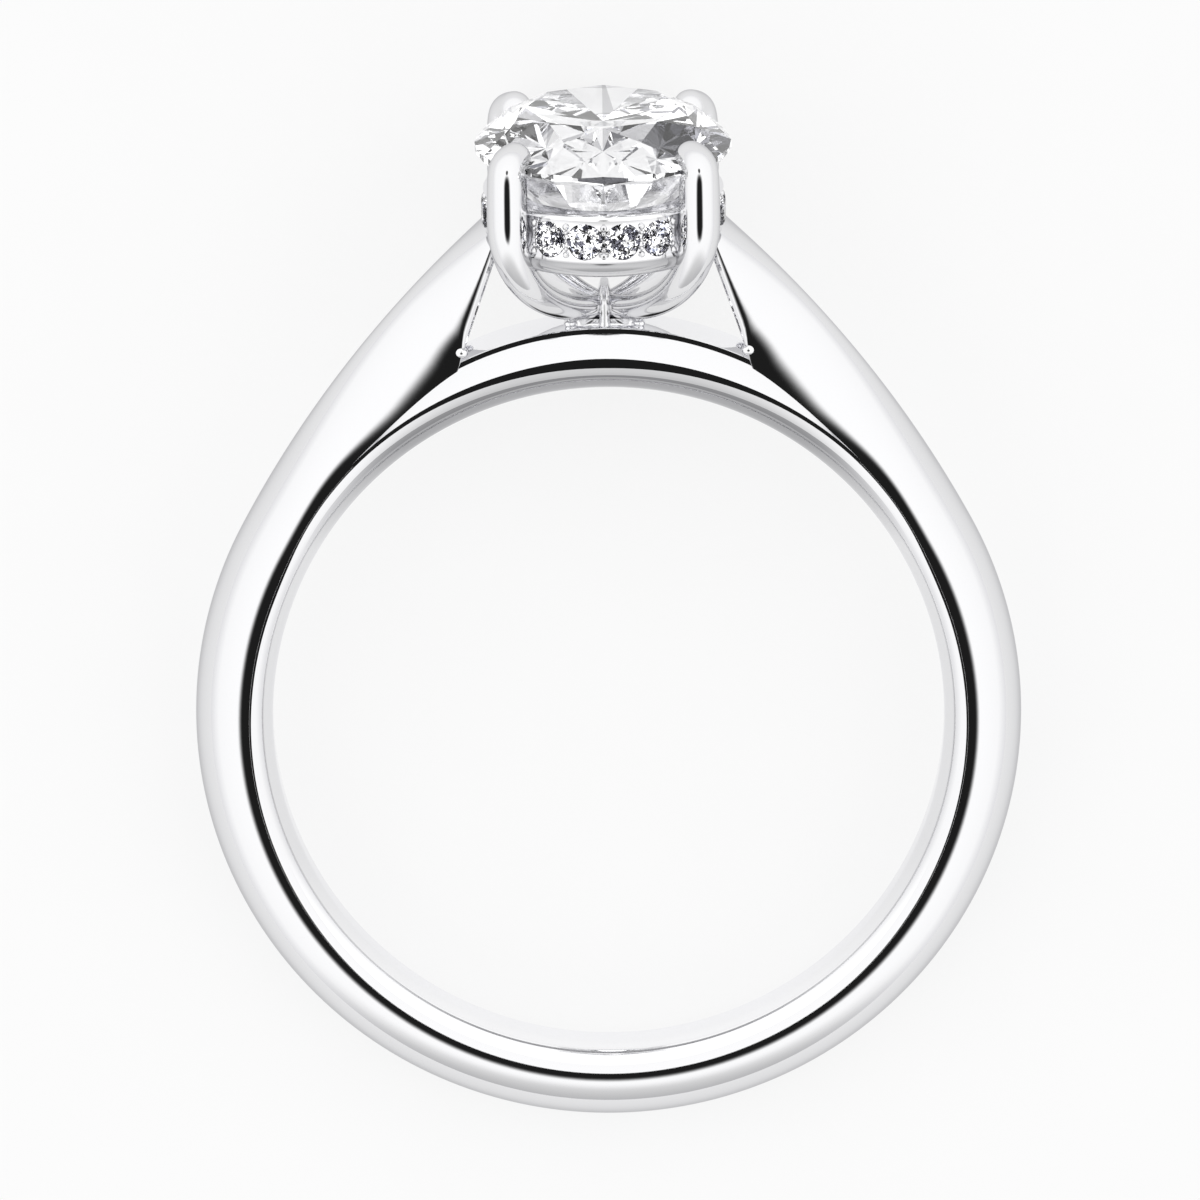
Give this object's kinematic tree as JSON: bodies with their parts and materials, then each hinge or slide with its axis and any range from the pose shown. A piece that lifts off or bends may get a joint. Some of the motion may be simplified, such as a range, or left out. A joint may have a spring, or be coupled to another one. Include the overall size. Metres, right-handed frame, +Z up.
{
  "type": "hidden halo ring",
  "caption": "Solitaire finger ring lying on its side: oval brilliant on claws over a hidden band of small stones, with raised shoulders and a bridge under the head.",
  "frame": {"origin": "middle of the ring's box, on the surface that the ring lies on", "axes": "+Z up; the ring lies on its side with its head towards +Y, and X runs across the finger; the finger axis leans 7.6 degrees off Z, towards -Y"},
  "size_m": [0.0202, 0.0254, 0.0085],
  "materials": {
    "metal": "mirror polished white gold or platinum",
    "stone": "colourless brilliant-cut stone"
  },
  "bodies": {
    "root": {"ring_setting": "metal", "center_stone": "stone", "halo_stone_1": "stone", "halo_stone_2": "stone", "halo_stone_3": "stone", "halo_stone_4": "stone", "halo_stone_5": "stone", "halo_stone_6": "stone", "halo_stone_7": "stone", "halo_stone_8": "stone", "halo_stone_9": "stone", "halo_stone_10": "stone", "halo_stone_11": "stone", "halo_stone_12": "stone", "halo_stone_13": "stone", "halo_stone_14": "stone", "halo_stone_15": "stone", "halo_stone_16": "stone", "halo_stone_17": "stone", "halo_stone_18": "stone", "halo_stone_19": "stone", "halo_stone_20": "stone"}
  },
  "joints": []
}
